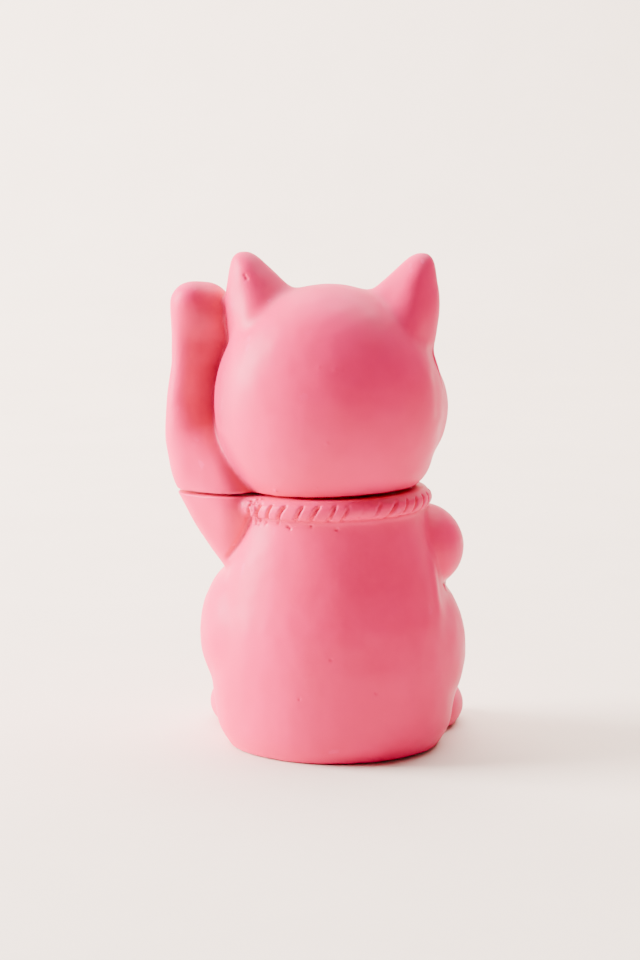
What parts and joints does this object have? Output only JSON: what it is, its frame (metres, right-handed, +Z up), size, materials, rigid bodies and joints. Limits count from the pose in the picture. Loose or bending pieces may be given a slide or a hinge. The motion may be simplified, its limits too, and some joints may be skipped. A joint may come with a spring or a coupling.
{
  "type": "beckoning cat trinket box",
  "caption": "Seated beckoning cat cast in matte resin: the head and raised paw lift off the body as the lid of a small trinket box.",
  "frame": {"origin": "middle of the base, at the surface that the cat stands on", "axes": "+Z up; the cat faces -Y; its left side, with the raised paw, is +X"},
  "size_m": [0.0608, 0.0478, 0.099],
  "materials": {
    "resin": "matte filled polyester resin, pink all through",
    "magnet": "nickel plate",
    "felt": "adhesive wool felt"
  },
  "bodies": {
    "base": {"body_casting": "resin", "body_neck_magnet": "magnet", "body_arm_magnet": "magnet", "base_felt_pad": "felt", "cavity_felt_liner": "felt"},
    "lid": {"lid_casting": "resin", "lid_neck_magnet": "magnet", "lid_arm_magnet": "magnet"}
  },
  "joints": [
    {"name": "lid_lift", "type": "slide", "parent": "base", "child": "lid", "axis": [0, 0, 1], "range_m": [0, 0.06]}
  ]
}
